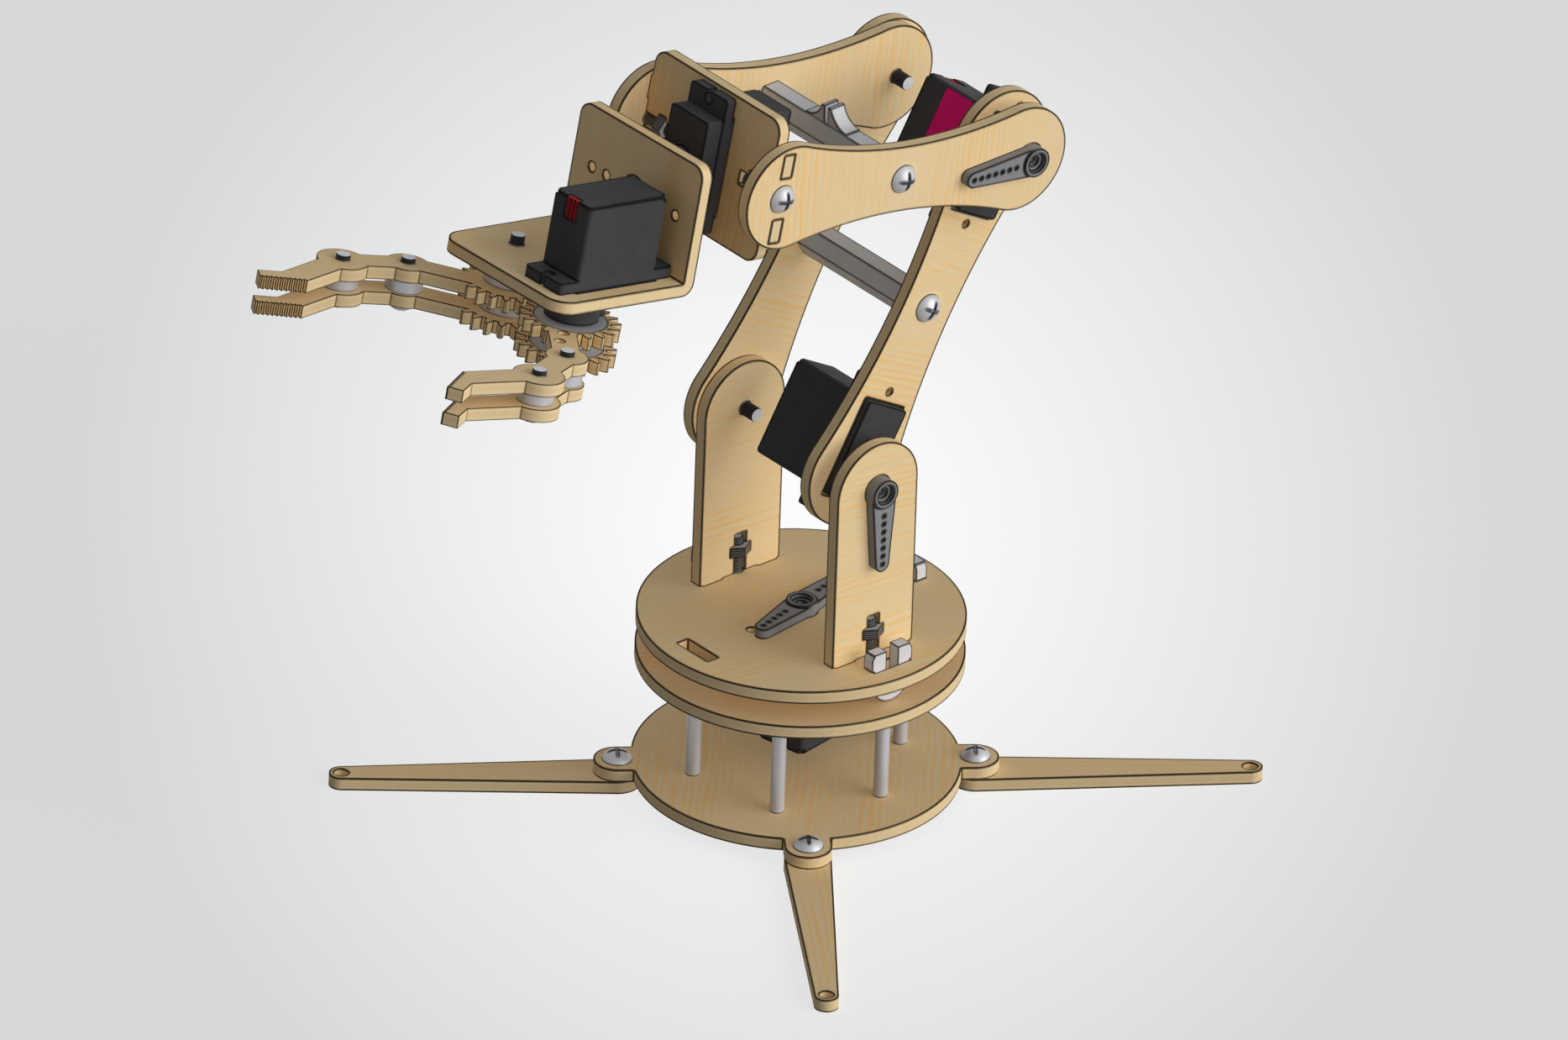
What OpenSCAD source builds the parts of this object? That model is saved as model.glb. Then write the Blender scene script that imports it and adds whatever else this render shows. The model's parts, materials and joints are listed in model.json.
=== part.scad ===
// Desktop robot arm cut from thin plywood and driven by five micro servos.
// The origin is on the ground under the centre of the base. +X points to the
// gripper, +Y to the side that carries the servo horns, and +Z up.

/* [Plywood] */
// Thickness of every plate
ply = 3; // [2.4:0.1:4]
// Clearance between plates that move past each other
slip = 0.3; // [0.1:0.05:0.5]
// Clearance around tabs, nuts and cases that sit in plywood
fit = 0.05; // [0.02:0.01:0.2]

/* [Base] */
// Radius of the three round plates
disc_r = 36; // [32:1:50]
// Radius of the circle that the leg screws lie on
ear_at = 39; // [37:0.5:52]
// Radius of the ears and of the legs' wide ends
ear_r = 5.2; // [4:0.1:7]
// Radius of the circle that the foot holes lie on
foot_at = 99; // [70:1:140]
// Radius of a leg's narrow end
foot_r = 2.7; // [2.4:0.1:4]
// Direction of the first leg, in degrees from +X
leg_turn = 54; // [45:1:60]
// Number of legs
leg_count = 4; // [3:1:6]
// Height of the standoff rods between the base plate and the fixed disc
standoff_h = 25; // [22:0.5:50]
// Radius of a standoff rod
standoff_r = 1.6; // [1.3:0.05:1.6]
// Radius of the pin at each end of a standoff rod
standoff_pin_r = 1.2; // [0.8:0.05:1.25]
// Clearance between a standoff and the ear of the yaw servo
standoff_clear = 0.6; // [0.3:0.1:3]
// Direction of the first standoff, in degrees from +X
standoff_turn = 40; // [30:1:50]
// Number of standoffs
standoff_count = 6; // [3:1:8]

/* [Screws] */
// Radius of an M3 thread
m3_r = 1.5; // [1.4:0.05:1.6]
// Radial clearance of an M3 hole
m3_gap = 0.08; // [0.02:0.01:0.1]
// Radius of a domed screw head
head_r = 3.4; // [2.6:0.1:4]
// Height of a domed screw head
head_h = 2.2; // [1.4:0.1:2.6]
// Width of the cross slot in a screw head
slot_w = 0.5; // [0.3:0.05:0.8]
// Depth of the cross slot in a screw head
slot_deep = 0.7; // [0.3:0.1:1]
// Width of an M3 nut across its flats
nut_af = 5.5; // [5:0.1:6]
// Thickness of an M3 nut
nut_h = 2.4; // [1.8:0.1:3]
// Distance from a plate's edge to the nut in its T-slot
nut_from_edge = 4.4; // [3:0.1:6]
// Length of the bolt in a T-slot, from the plate's edge
tee_bolt_l = 8.6; // [8:0.1:12]
// Length of the slot for that bolt
tee_slot_l = 9.8; // [9:0.1:14]
// Length of thread that shows past a pivot plate
pivot_stub = 4.1; // [2:0.1:8]

/* [Tabs] */
// Length of a locating tab along the plate's edge
tab_l = 5.6; // [3:0.1:8]
// Distance from the middle of the edge to the near end of a tab
tab_from = 4.9; // [4.5:0.1:6]

/* [Turntable] */
// Width of an upright
upright_w = 22.5; // [22:0.5:30]
// Height of the shoulder axis above the turntable
shoulder_h = 41; // [30:1:60]
// Clear distance between the two uprights, and between the forearm plates
inside_w = 42; // [40:0.5:50]
// Distance from the centre to a glide clip
glide_at = 29.3; // [27:0.1:31]
// Length of a glide clip's slot
glide_slot_l = 10.3; // [8:0.1:12]
// Width of a glide clip's slot
glide_slot_w = 3.2; // [2.4:0.1:4]
// Clearance of a glide clip in its slot
glide_gap = 0.15; // [0.05:0.05:0.3]
// Height of a clip's prongs above the turntable
prong_h = 4.2; // [2:0.1:6]
// Gap between the two prongs of a clip
prong_gap = 3.3; // [2:0.1:4]
// How far a prong's shoulder reaches over the end of its slot
prong_hook = 0.6; // [0.3:0.1:1]
// Rounding of a prong's shoulder
prong_round = 1.6; // [0.5:0.1:2]

/* [Arm plates] */
// Distance from the shoulder axis to the elbow axis
arm_l = 80; // [70:1:120]
// Radius of the round ends of the arm plates
arm_end_r = 12.2; // [12:0.1:16]
// Half the width of a lower arm plate at its waist
lower_waist = 7.6; // [7.2:0.1:11]
// Half the width of a forearm plate at its waist
fore_waist = 7.8; // [6:0.1:11]
// Distance from the elbow axis to the centre of the forearm's rear round
fore_tail = 1.9; // [0:0.1:4]
// Distance from the elbow axis to the middle of the wrist plate
wrist_at = 71.8; // [66:0.1:90]
// Distance from the wrist plate back to the centre of the forearm's front round
fore_nose_back = 2.3; // [0:0.1:4]
// Distance from the elbow axis to the forearm's cross bar
fore_bar_at = 36.6; // [34:0.1:40]
// How far the wrist plate stands past the ears of its servo
wrist_rim = 0.85; // [0.4:0.05:4]
// Corner radius of the wrist plate
wrist_corner_r = 3.3; // [1:0.1:5]

/* [Cross bars] */
// Width of a hexagonal bar across its flats
bar_af = 7.1; // [6:0.1:9]
// Length of the screws that hold a bar
bar_screw_l = 9; // [6:0.5:12]
// Width of a cable clip at its foot
clip_foot_w = 13.6; // [8:0.1:18]
// Width of a cable clip at its tip
clip_tip_w = 3; // [2.4:0.1:4]
// Height of a cable clip above its bar
clip_h = 4.3; // [3:0.1:5]
// Height of the edge that a cable clip's foot ends in
clip_edge_h = 0.3; // [0.2:0.1:0.6]
// Width of the slot in a cable clip
clip_slot_w = 1.1; // [0.6:0.1:1.4]
// Turn of the lower arm's bar from the arm, in degrees
lower_clip_turn = 0; // [0:60:300]
// Turn of the forearm's bar from the forearm, in degrees
fore_clip_turn = 11; // [-30:1:30]

/* [Servo] */
// Length of a servo's case
servo_l = 22.8; // [22:0.1:24]
// Width of a servo's case
servo_w = 12.2; // [11.6:0.1:13]
// Height of the case behind its ears
servo_back_h = 17.3; // [15:0.1:20]
// Length of each ear
servo_ear_l = 4.75; // [4:0.05:6]
// Thickness of the ears
servo_ear_t = 2.7; // [2:0.1:3]
// Height of the gear cover in front of the ears
servo_step_h = 4.6; // [4:0.1:6]
// Height of the round boss on the gear cover
servo_boss_h = 3.8; // [2:0.1:4]
// Distance from the output shaft to the nearer end of the case
servo_end = 5.8; // [5.6:0.1:7]
// Distance from the end of the case to the keyhole of the ear there
servo_hole_out = 2.75; // [2:0.05:3.2]
// Radius of an ear's keyhole
servo_hole_r = 1.15; // [0.8:0.05:1.3]
// Width of the mouth of an ear's keyhole
servo_mouth_w = 1.1; // [0.6:0.1:1.6]
// Radius of the small lobe of the boss
servo_lobe_r = 2.9; // [2:0.1:3.4]
// Distance from the output shaft to the small lobe
servo_lobe_at = 6; // [5:0.1:6.6]
// Corner radius of the case
servo_round = 0.9; // [0.3:0.1:1.4]
// Thickness of the case's rear lid
servo_lid_h = 0.4; // [0.3:0.05:0.8]
// Width of the notch that the leads come out of
lead_notch_w = 3.9; // [3.3:0.1:5]
// Height of the notch that the leads come out of
lead_notch_h = 5; // [4:0.1:7]
// Depth of the notch that the leads come out of
lead_notch_deep = 1.4; // [1:0.1:1.8]
// Radius of one lead
lead_r = 0.6; // [0.4:0.05:0.62]
// Clearance of a case in its cut-out
case_gap = 0.3; // [0.1:0.05:0.5]
// Radius of the output shaft
shaft_r = 2.4; // [2:0.05:2.6]
// Running clearance of the output shaft in the gear cover
shaft_gap = 0.06; // [0.02:0.01:0.1]
// Length of the output shaft past the boss
shaft_out = 3; // [2:0.1:3.2]
// Depth of the output shaft in the gear cover
shaft_in = 3.4; // [2:0.1:4]

/* [Horns] */
// Radius of a horn's hub
horn_hub_r = 3.4; // [3:0.1:4]
// Thickness of a horn's arm
horn_t = 2.4; // [1.4:0.1:2.6]
// Height of the rim round a horn's screw
horn_rim_h = 0.5; // [0.3:0.1:0.9]
// Radius of a horn arm's tip
horn_tip_r = 1.9; // [1.4:0.1:2.4]
// Radius of the recess for a horn's screw
horn_recess_r = 2.3; // [1.9:0.1:2.7]
// Radius of the bore for a horn's screw
horn_bore_r = 1.2; // [0.8:0.1:1.4]
// Distance from the hub to the last hole of a single horn
horn_single_l = 17.5; // [14:0.5:20]
// Distance from the hub to the last hole of each arm of a double horn
horn_double_l = 14.1; // [13:0.1:16]
// Distance between two holes of a horn
horn_pitch = 2; // [1.8:0.1:2.4]
// Radius of the holes in a horn
horn_hole_r = 0.5; // [0.3:0.05:0.7]
// Radius of the screw holes that the plates have for a horn
horn_screw_r = 1.1; // [0.6:0.1:1.3]
// Distance from the axis to the outer one of those holes
horn_screw_far = 14; // [12:0.1:15]
// Distance from the axis to the inner one of those holes
horn_screw_near = 9.2; // [8:0.1:10]

/* [Gripper] */
// Width of the gripper bracket
bracket_w = 41; // [40:0.5:46]
// Height of the bracket's back above its floor
bracket_h = 27.2; // [26:0.1:34]
// Height of the wrist axis above the bracket's floor
bracket_axis_h = 13.7; // [12:0.1:16]
// Distance from the gripper servo's front ear to the front of the floor
bracket_lip = 3; // [1:0.1:8]
// Corner radius of the bracket's back
bracket_top_r = 3.2; // [1:0.1:5]
// Corner radius of the bracket's floor
bracket_front_r = 5; // [1:0.1:6]
// Clearance between the gripper servo's rear ear and the bracket's back
bracket_clear = 0.3; // [0.1:0.05:2]
// Clearance between the gripper servo and the driven finger
finger_clear = 0.7; // [0.3:0.1:1.5]
// Distance between the two gear axes
gear_span = 20.5; // [20:0.5:23]
// Number of teeth that a full gear has
teeth = 20; // [18:1:24]
// Height of a tooth above the pitch circle
tooth_up = 1; // [0.5:0.05:1.1]
// Depth of a tooth below the pitch circle
tooth_down = 1.35; // [1.2:0.05:1.6]
// Play between meshing teeth, along the pitch circle
tooth_play = 0.25; // [0.15:0.05:0.5]
// Gap between the two layers of a finger
finger_gap = 3; // [2:0.1:4]
// Width of a finger's arm
finger_w = 6.4; // [5:0.1:7]
// Place of the first boss of a closed finger, forward of its gear
boss_1_x = 21.7; // [20:0.1:26]
// Place of the first boss of a closed finger, outward from its gear
boss_1_y = 6.3; // [4:0.1:8]
// Radius of the first boss
boss_1_r = 4.8; // [4.4:0.1:6]
// Place of the second boss of a closed finger, forward of its gear
boss_2_x = 36.5; // [34:0.1:40]
// Place of the second boss of a closed finger, outward from its gear
boss_2_y = 4.7; // [2:0.1:6]
// Radius of the second boss
boss_2_r = 5.8; // [4.6:0.1:7]
// Distance from the gear axis to the foot where a finger's arm leaves its gear
root_x = 6.6; // [5:0.1:8]
// Distance from the gear axis to the start of the closed jaw's face
jaw_x = 46.9; // [44:0.1:50]
// Length of the serrated face
jaw_l = 10.5; // [8:0.1:16]
// How far the finger's outer edge runs on past the root of the jaw
knee_l = 0.8; // [0.2:0.1:2]
// Thickness of the jaw at its tip
jaw_t = 3.9; // [2.5:0.1:5]
// Clearance between the closed jaws
jaw_gap = 1; // [0.3:0.1:2]
// Number of serrations
jaw_teeth = 10; // [6:1:14]
// Depth of a serration
jaw_tooth_deep = 0.9; // [0.3:0.1:1.2]
// Radius of the spacers between the layers
spacer_r = 4.2; // [3.4:0.1:4.4]
// Radius of the driven finger's hub discs
drive_hub_r = 8.2; // [6:0.1:8.2]
// Radius of the spacers that the idle finger turns between
idle_spacer_r = 6; // [5:0.1:8]
// Radius of the idle finger's bush in its two layers
idle_hub_r = 3.2; // [2.4:0.1:4.8]
// Radius of the two trimming holes in the driven finger's arm
trim_r = 1.2; // [0.8:0.1:1.3]
// Length of thread that shows above a finger
finger_stub = 1.3; // [0.5:0.1:2.5]
// Length of thread that shows above the bracket's floor
idler_stub = 2.3; // [1:0.1:4]

/* [Pose] */
// Direction of the lower arm, in degrees above +X
arm_angle = 120; // [80:1:150]
// Direction of the forearm, in degrees above +X
fore_angle = 11; // [-10:1:60]
// Roll of the gripper about the wrist axis, in degrees
wrist_roll = 1.1; // [-45:0.1:45]
// Angle that each finger is opened by, in degrees
jaw_open = 31; // [0:0.5:45]
// Direction of the turntable's horn, in degrees from +X
yaw_horn_turn = 14; // [0:1:30]
// Direction of the yaw servo's case from its shaft, in degrees from -X
yaw_servo_turn = 10; // [0:1:30]
// Turn of the elbow's horn from the forearm, in degrees
elbow_horn_turn = -6.5; // [-30:0.5:30]

/* [Hidden] */

$fn = 72;

// Overrun of every cut past the face that it starts from
over = 0.5;
// How far a tangent edge is set in, so that it crosses its circle cleanly
blend = 0.02;
// How far a waist runs into the round ends
lap = 1;
// Fineness of the large waist curves
waist_fn = 360;

// Radius of an M3 hole
m3_hole_r = m3_r + m3_gap;
// How far a leg screw's thread ends above the ground
leg_screw_up = 0.4;
// How far a case's lid stands in from the case's sides
seam = 0.25;
// Radius and depth of the two screw recesses in a case's lid
lid_recess_r = 1.2;
lid_recess_deep = 1.1;
// Distance between two leads, and how far their ends stand in from the case
lead_pitch = 1.25;
lead_in = 0.15;
// Depth of a horn's screw recess
horn_recess_deep = 1.1;
// Number of points on each flank of a tooth
flank_steps = 4;
// Pressure angle of the teeth, in degrees
pressure_angle = 20;
// Places of the two trimming holes along the driven finger, from its gear axis
trim_at = [9.7, 14.6];
// Angle of the trimming holes from the closed jaw's direction, in degrees
trim_turn = 9;
// Clearance between the runner of a clip and the fixed disc
runner_gap = slip;

// Heights of the base, from the ground up
base_z = ply;
standoff_z = base_z + ply;
fixed_z = standoff_z + standoff_h;
// Front height of a servo, from its ears to the top of its boss
servo_front_h = servo_step_h + servo_boss_h;
// Distance from the middle of a servo's case to its output shaft
servo_shaft_off = servo_l / 2 - servo_end;
// Length over both ears, and distance between their keyholes
servo_ears_l = servo_l + 2 * servo_ear_l;
servo_hole_span = servo_l + 2 * servo_hole_out;
// Distance from the output shaft to the end of the farther ear
servo_reach = servo_ears_l / 2 + servo_shaft_off;
// Radius of the circle that the standoffs lie on
standoff_at = servo_reach + standoff_clear + standoff_r;
turntable_z = fixed_z + servo_front_h + slip;
deck_z = turntable_z + ply;
shoulder_z = deck_z + shoulder_h;

// Places across the arm
upright_in = inside_w / 2;
upright_out = upright_in + ply;
near_lower_in = upright_in - slip - servo_front_h;
near_lower_out = near_lower_in + ply;
far_lower_in = upright_out + slip;
far_lower_out = far_lower_in + ply;

// Wrist, measured along the forearm from the elbow
wrist_back = wrist_at - ply / 2;
wrist_front = wrist_at + ply / 2;
wrist_ear_front = wrist_front + servo_ear_t;
wrist_axis_down = servo_shaft_off;
bracket_back = wrist_ear_front + servo_front_h + slip + ply + horn_t;
bracket_front = bracket_back + ply;
wrist_plate_h = servo_ears_l + 2 * wrist_rim;

// Gripper heights, measured from the wrist axis
floor_top = -bracket_axis_h;
floor_under = floor_top - ply;
finger_top = floor_top - servo_front_h - finger_clear;
lower_finger_top = finger_top - ply - finger_gap;
finger_under = lower_finger_top - ply;

// Bracket, forward from its back
gear_x = bracket_clear + servo_reach;
bracket_l = gear_x + servo_end + servo_ear_l + bracket_lip;

// Gears
pitch_r = gear_span / 2;
base_circle_r = pitch_r * cos(pressure_angle);
gear_tip_r = pitch_r + tooth_up;
gear_root_r = pitch_r - tooth_down;
tooth_step = 360 / teeth;
// Direction of the meshing point in the frame of a closed finger
mesh_turn = -90 - jaw_open;

// Places on a closed finger
boss_1 = [boss_1_x, boss_1_y];
boss_2 = [boss_2_x, boss_2_y];
jaw_y = -(gear_span - jaw_gap) / 2;
jaw_tip_x = jaw_x + jaw_l;

wood = [0.87, 0.76, 0.58];
dark = [0.17, 0.17, 0.17];
plastic = [0.48, 0.48, 0.48];
steel = [0.78, 0.78, 0.8];
lead = [0.55, 0.02, 0.02];

// Direction in degrees of the line from one point to another
function heading(a, b) = atan2(b[1] - a[1], b[0] - a[0]);

// Involute of an angle, in degrees
function involute(a) = tan(a) * 180 / PI - a;

// Half the angle that a tooth fills at a radius
function tooth_half(r) =
    tooth_step / 4 - tooth_play / (4 * pitch_r) * 180 / PI
    + involute(pressure_angle)
    - involute(acos(min(1, base_circle_r / max(r, base_circle_r))));

// Point at a radius and a direction
function polar(r, a) = [r * cos(a), r * sin(a)];

// Radii along a flank, from the base circle to the tip
function flank_r(i) = base_circle_r + (gear_tip_r - base_circle_r) * i / flank_steps;

// Outline of one tooth, round the gear
function tooth(a) = concat(
    [polar(gear_root_r, a - tooth_half(base_circle_r))],
    [for (i = [0:flank_steps]) polar(flank_r(i), a - tooth_half(flank_r(i)))],
    [for (i = [flank_steps:-1:0]) polar(flank_r(i), a + tooth_half(flank_r(i)))],
    [polar(gear_root_r, a + tooth_half(base_circle_r))]
);

// Radius of the waist curve that is tangent to two ends of radius r
function waist_r(span, r, waist) =
    ((span / 2) * (span / 2) + waist * waist - r * r) / (2 * (r - waist));

// Frames

// Frame of the lower arm: +X runs from the shoulder to the elbow
module at_shoulder() {
    translate([0, 0, shoulder_z]) rotate([0, -arm_angle, 0]) children();
}

// Frame of the forearm: +X runs from the elbow to the wrist
module at_elbow() {
    translate([arm_l * cos(arm_angle), 0, shoulder_z + arm_l * sin(arm_angle)])
        rotate([0, -fore_angle, 0]) children();
}

// Frame of the gripper: on the wrist axis at the front of the bracket's back
module at_gripper() {
    at_elbow() translate([bracket_front, 0, -wrist_axis_down])
        rotate([wrist_roll, 0, 0]) children();
}

// Frame of a finger's gear, opened by the rest angle; side is 1 or -1
module at_finger(side) {
    at_gripper() translate([gear_x, side * gear_span / 2, 0])
        rotate([0, 0, side * jaw_open]) children();
}

// Plate that stands across Y, from y = from upward, with its outline in XZ
module across(from, thick = ply) {
    translate([0, from + thick, 0]) rotate([90, 0, 0])
        linear_extrude(thick) children();
}

// Shared shapes

// Rectangle with rounded corners, centred
module rounded(l, w, r) {
    square([l - 2 * r, w], center = true);
    square([l, w - 2 * r], center = true);
    for (x = [-1, 1], y = [-1, 1])
        translate([x * (l / 2 - r), y * (w / 2 - r)]) circle(r);
}

// Two circles joined by the lines that are tangent to both
module tapered(l, r1, r2) {
    a = acos((r1 - r2) / l);
    in_1 = r1 - blend;
    in_2 = r2 - blend;
    circle(r1);
    translate([l, 0]) circle(r2);
    polygon([
        polar(in_1, a), polar(in_1, -a),
        [l, 0] + polar(in_2, -a), [l, 0] + polar(in_2, a)
    ]);
}

// Bar of one width between two points, with square ends
module link(a, b, w) {
    translate(a) rotate(heading(a, b)) translate([0, -w / 2])
        square([norm(b - a), w]);
}

// Two round ends joined by a waist with hollow sides
module dogbone(span, r, waist) {
    hollow_r = waist_r(span, r, waist);
    touch_share = r / (r + hollow_r);
    from_x = span / 2 * touch_share - lap;
    touch_y = (waist + hollow_r) * touch_share;
    circle(r);
    translate([span, 0]) circle(r);
    difference() {
        translate([from_x, -touch_y]) square([span - 2 * from_x, 2 * touch_y]);
        for (s = [-1, 1]) translate([span / 2, s * (waist + hollow_r)])
            circle(hollow_r + blend, $fn = waist_fn);
    }
}

// Domed screw head with a cross slot, standing on z = 0
module dome_head() {
    ball_r = (head_r * head_r + head_h * head_h) / (2 * head_h);
    difference() {
        translate([0, 0, head_h - ball_r]) sphere(ball_r);
        translate([0, 0, -ball_r]) cube(2 * ball_r, center = true);
        for (a = [0, 90]) rotate(a)
            translate([-head_r - over, -slot_w / 2, head_h - slot_deep])
                cube([2 * (head_r + over), slot_w, slot_deep + over]);
    }
}

// Screw with its head on z = 0 and its thread below
module screw(l) {
    dome_head();
    translate([0, 0, -l]) cylinder(h = l + over, r = m3_r);
}

// Nut centred on its axis, standing on z = 0
module nut() {
    difference() {
        cylinder(h = nut_h, r = nut_af / sqrt(3), $fn = 6);
        translate([0, 0, -over]) cylinder(h = nut_h + 2 * over, r = m3_r + fit);
    }
}

// Ring round an M3 thread, standing on z = 0
module spacer(h, r) {
    difference() {
        cylinder(h = h, r = r);
        translate([0, 0, -over]) cylinder(h = h + 2 * over, r = m3_r + fit);
    }
}

// Outline of a T-slot that runs up from y = 0
module tee_slot() {
    translate([-m3_hole_r, -over]) square([2 * m3_hole_r, tee_slot_l + over]);
    translate([-nut_af / 2 - fit, nut_from_edge - fit])
        square([nut_af + 2 * fit, nut_h + 2 * fit]);
}

// Outline of the two locating tabs that stand down from y = 0
module tabs(grow = 0) {
    for (s = [-1, 1]) translate([s * (tab_from + tab_l / 2), -ply / 2])
        square([tab_l + 2 * grow, ply + 2 * grow], center = true);
}

// Screw holes that a plate has for a horn, with the opening for its hub
module horn_holes(angles, far_only = false) {
    circle(horn_hub_r + fit);
    for (a = angles) rotate(a) {
        translate([horn_screw_far, 0]) circle(horn_screw_r);
        if (!far_only) translate([horn_screw_near, 0]) circle(horn_screw_r);
    }
}

// Cut-out and ear holes for a servo whose shaft is at the origin
module servo_cutout() {
    translate([-servo_shaft_off, 0])
        square([servo_l + 2 * case_gap, servo_w + 2 * case_gap], center = true);
    for (s = [-1, 1])
        translate([-servo_shaft_off + s * servo_hole_span / 2, 0])
            circle(servo_hole_r * 3 / 4);
}

// Servo: the shaft is at the origin and points up, and z = 0 is the ears' front

// Case with its ears, rear lid, screw recesses and lead notch
module servo_case() {
    back = servo_ear_t + servo_back_h;
    end_x = servo_l / 2;
    color(dark) difference() {
        translate([-servo_shaft_off, 0, 0]) union() {
            translate([0, 0, -back]) linear_extrude(servo_lid_h + over)
                rounded(servo_l - 2 * seam, servo_w - 2 * seam, servo_round - seam);
            translate([0, 0, -back + servo_lid_h])
                linear_extrude(back - servo_lid_h)
                    rounded(servo_l, servo_w, servo_round);
            translate([0, 0, -servo_ear_t]) linear_extrude(servo_ear_t)
                rounded(servo_ears_l, servo_w, servo_round);
        }
        for (s = [-1, 1]) {
            hole_x = servo_hole_span / 2;
            translate([-servo_shaft_off + s * hole_x, 0, -servo_ear_t - over])
                cylinder(h = servo_ear_t + 2 * over, r = servo_hole_r);
            mouth_l = servo_ears_l / 2 - hole_x + over;
            translate([
                -servo_shaft_off + s * (hole_x + mouth_l / 2), 0, -servo_ear_t / 2
            ]) cube([mouth_l, servo_mouth_w, servo_ear_t + 2 * over], center = true);
        }
        for (s = [-1, 1])
            translate([-servo_shaft_off + s * end_x, s * servo_w / 2, -back - over])
                cylinder(h = lid_recess_deep + over, r = lid_recess_r);
        translate([
            -servo_shaft_off + end_x - lead_notch_deep, -lead_notch_w / 2, -back - over
        ]) cube([lead_notch_deep + over, lead_notch_w, lead_notch_h + over]);
    }
}

// Gear cover with its round boss and small lobe
module servo_cover() {
    color(dark) difference() {
        union() {
            translate([-servo_shaft_off, 0, 0]) linear_extrude(servo_step_h)
                rounded(servo_l, servo_w, servo_round);
            translate([0, 0, servo_step_h - over])
                cylinder(h = servo_boss_h + over, r = servo_w / 2);
            translate([-servo_lobe_at, 0, servo_step_h - over])
                cylinder(h = servo_boss_h + over, r = servo_lobe_r);
        }
        translate([0, 0, servo_front_h - shaft_in])
            cylinder(h = shaft_in + over, r = shaft_r + shaft_gap);
    }
}

// Output shaft of a servo
module servo_shaft() {
    color(steel) translate([0, 0, servo_front_h - shaft_in + shaft_gap])
        cylinder(h = shaft_in - shaft_gap + slip + shaft_out, r = shaft_r);
}

// Three short lead ends standing in the case's notch
module servo_leads() {
    back = servo_ear_t + servo_back_h;
    color(lead) for (i = [-1:1])
        translate([
            servo_l / 2 - servo_shaft_off - lead_notch_deep + lead_r,
            i * lead_pitch, -back + lead_in
        ]) cylinder(h = lead_notch_h - lead_in, r = lead_r);
}

// Horn: z = 0 is the inner end of its hub, which sits in a plate
module horn(arms, reach) {
    hub_h = ply + horn_t;
    holes = floor((reach - horn_hub_r - 2 * horn_hole_r) / horn_pitch);
    color(plastic) difference() {
        union() {
            cylinder(h = hub_h + horn_rim_h, r = horn_hub_r);
            for (a = arms) rotate(a) translate([0, 0, ply]) linear_extrude(horn_t)
                tapered(reach, horn_hub_r, horn_tip_r);
        }
        translate([0, 0, -over]) cylinder(h = shaft_out + over, r = shaft_r);
        cylinder(h = hub_h + horn_rim_h + over, r = horn_bore_r);
        translate([0, 0, hub_h + horn_rim_h - horn_recess_deep])
            cylinder(h = horn_recess_deep + over, r = horn_recess_r);
        for (a = arms, i = [0:holes]) rotate(a)
            translate([reach - i * horn_pitch, 0, ply - over])
                cylinder(h = horn_t + 2 * over, r = horn_hole_r, $fn = 24);
    }
}

// Outline of a cable clip, standing on the middle of its bar
module clip_outline() {
    flank_w = (clip_foot_w - clip_tip_w) / 2;
    flank_h = clip_h - clip_edge_h;
    flank_r = (flank_w * flank_w + flank_h * flank_h) / (2 * flank_h);
    foot_z = bar_af / 2;
    difference() {
        translate([-clip_foot_w / 2, 0]) square([clip_foot_w, foot_z + clip_h]);
        for (s = [-1, 1])
            translate([s * clip_foot_w / 2, foot_z + clip_edge_h + flank_r])
                circle(flank_r);
        translate([-clip_slot_w / 2, foot_z + clip_slot_w / 2])
            square([clip_slot_w, clip_h]);
        translate([0, foot_z + clip_slot_w / 2]) circle(clip_slot_w / 2, $fn = 24);
    }
}

// Hexagonal bar along +Y with a slotted cable clip on its +Z flat
module cross_bar(from, to) {
    side_l = bar_af / sqrt(3);
    clip_t = side_l - 2 * fit;
    bore_l = bar_screw_l - ply;
    color(plastic) difference() {
        union() {
            translate([0, to, 0]) rotate([90, 0, 0])
                cylinder(h = to - from, r = side_l, $fn = 6);
            translate([-clip_t / 2, 0, 0]) rotate([90, 0, 90])
                linear_extrude(clip_t) clip_outline();
        }
        for (y = [from + bore_l, to + over]) translate([0, y, 0])
            rotate([90, 0, 0]) cylinder(h = bore_l + over, r = m3_r);
    }
}

// Base

// Round plate with one ear over each leg and a hole for each standoff
module base_plate() {
    color(wood) translate([0, 0, base_z]) linear_extrude(ply) difference() {
        union() {
            circle(disc_r, $fn = 144);
            for (i = [0:leg_count - 1]) rotate(leg_turn + i * 360 / leg_count) {
                translate([0, -ear_r]) square([ear_at, 2 * ear_r]);
                translate([ear_at, 0]) circle(ear_r);
            }
        }
        for (i = [0:leg_count - 1]) rotate(leg_turn + i * 360 / leg_count)
            translate([ear_at, 0]) circle(m3_hole_r);
        standoff_holes();
    }
}

module standoff_holes() {
    for (i = [0:standoff_count - 1])
        rotate(standoff_turn + i * 360 / standoff_count)
            translate([standoff_at, 0]) circle(standoff_pin_r);
}

// One tapered leg under its ear
module leg(i) {
    color(wood) rotate(leg_turn + i * 360 / leg_count)
        linear_extrude(ply) difference() {
            translate([ear_at, 0]) tapered(foot_at - ear_at, ear_r, foot_r);
            translate([ear_at, 0]) circle(m3_hole_r);
            translate([foot_at, 0]) circle(m3_hole_r);
        }
}

module leg_screws() {
    color(steel) for (i = [0:leg_count - 1]) rotate(leg_turn + i * 360 / leg_count)
        translate([ear_at, 0, standoff_z]) screw(standoff_z - leg_screw_up);
}

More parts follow.
